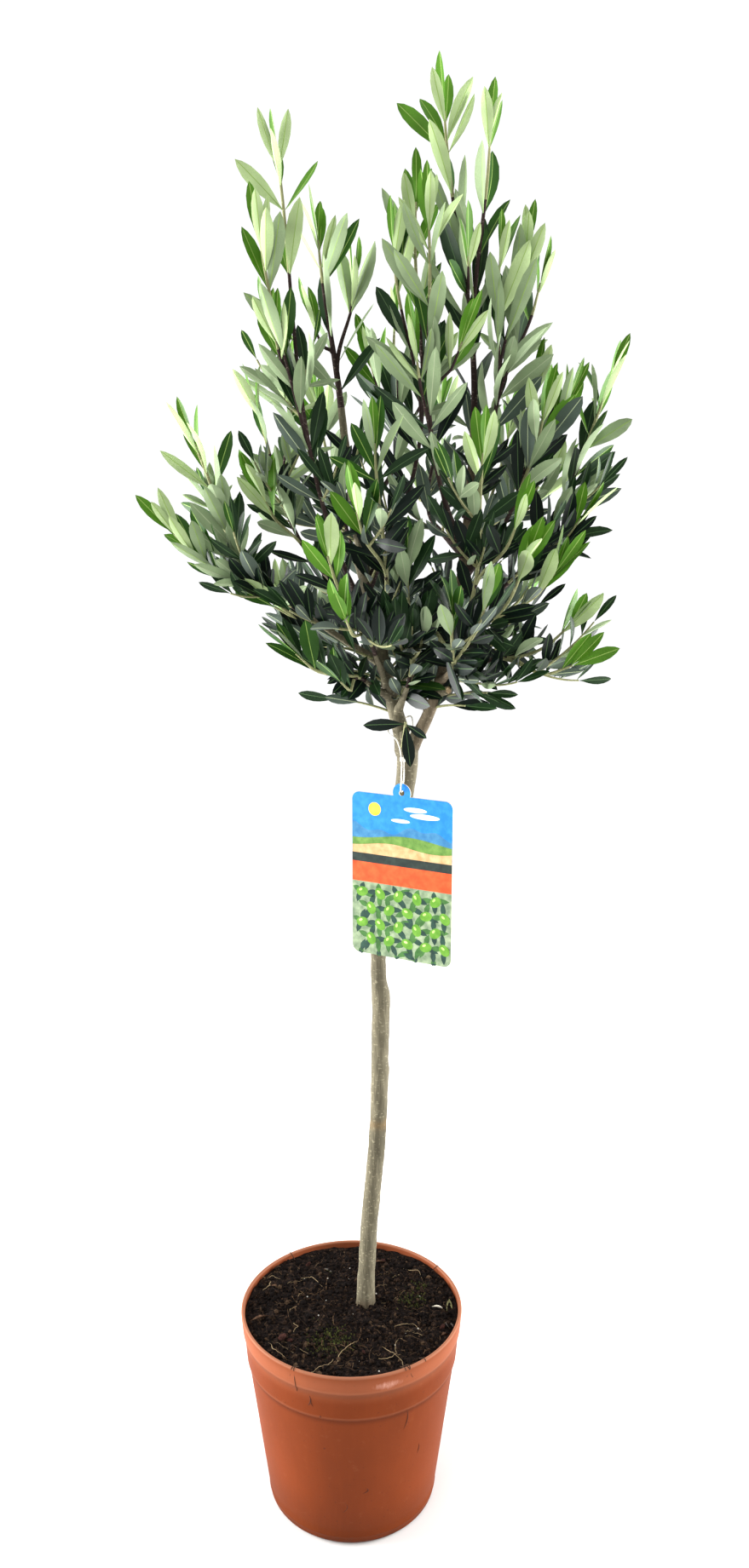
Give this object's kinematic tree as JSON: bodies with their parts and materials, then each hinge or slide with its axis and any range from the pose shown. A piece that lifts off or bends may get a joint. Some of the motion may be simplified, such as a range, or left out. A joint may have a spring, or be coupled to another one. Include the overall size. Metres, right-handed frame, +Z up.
{
  "type": "potted olive tree",
  "caption": "Young olive tree trained as a small standard with a bushy rounded head, standing in a plain round nursery pot, with a hang card on its stem.",
  "frame": {"origin": "centre of the pot's flat underside", "axes": "+Z up along the pot's axis, -Y towards the front that the picture shows, +X to its right"},
  "size_m": [0.3962, 0.3071, 1.274],
  "materials": {
    "pot": "matt moulded terracotta-coloured plastic, lightly scuffed and dusty",
    "soil": "moist dark fibrous compost",
    "bark": "smooth grey-olive young bark, finely speckled",
    "leaf_upper": "leathery olive leaf, satin upper side",
    "leaf_under": "silvery sage underside of the leaf, matt",
    "card": "printed card with a satin coat",
    "string": "soft white string"
  },
  "bodies": {
    "root": {"pot": "pot", "soil": "soil", "trunk": "bark", "left_bough": "bark", "right_bough": "bark", "far_left_bough": "bark", "low_left_bough": "bark", "tall_left_bough": "bark", "mid_left_bough": "bark", "centre_bough": "bark", "upper_front_bough": "bark", "upper_back_bough": "bark", "upper_right_bough": "bark", "mid_right_bough": "bark", "far_right_bough": "bark", "low_right_bough": "bark", "lowest_right_bough": "bark", "front_bough": "bark", "front_centre_bough": "bark", "front_left_bough": "bark", "front_right_bough": "bark", "inner_front_bough": "bark", "inner_back_bough": "bark", "low_back_right_bough": "bark", "back_right_bough": "bark", "low_back_bough": "bark", "back_bough": "bark", "low_back_left_bough": "bark", "back_left_bough": "bark", "centre_left_foliage": "leaf_upper", "crown_top_foliage": "leaf_upper", "far_left_foliage": "leaf_upper", "low_left_foliage": "leaf_upper", "tall_left_foliage": "leaf_upper", "mid_left_foliage": "leaf_upper", "top_left_foliage": "leaf_upper", "upper_front_foliage": "leaf_upper", "upper_back_foliage": "leaf_upper", "upper_right_foliage": "leaf_upper", "mid_right_foliage": "leaf_upper", "far_right_foliage": "leaf_upper", "low_right_foliage": "leaf_upper", "lowest_right_foliage": "leaf_upper", "front_foliage": "leaf_upper", "front_centre_foliage": "leaf_upper", "front_left_foliage": "leaf_upper", "front_right_foliage": "leaf_upper", "inner_front_foliage": "leaf_upper", "inner_back_foliage": "leaf_upper", "low_back_right_foliage": "leaf_upper", "back_right_foliage": "leaf_upper", "low_back_foliage": "leaf_upper", "back_foliage": "leaf_upper", "low_back_left_foliage": "leaf_upper", "back_left_foliage": "leaf_upper", "fork_sprig_foliage": "leaf_upper", "hang_card": "card", "card_string": "string"}
  },
  "joints": []
}
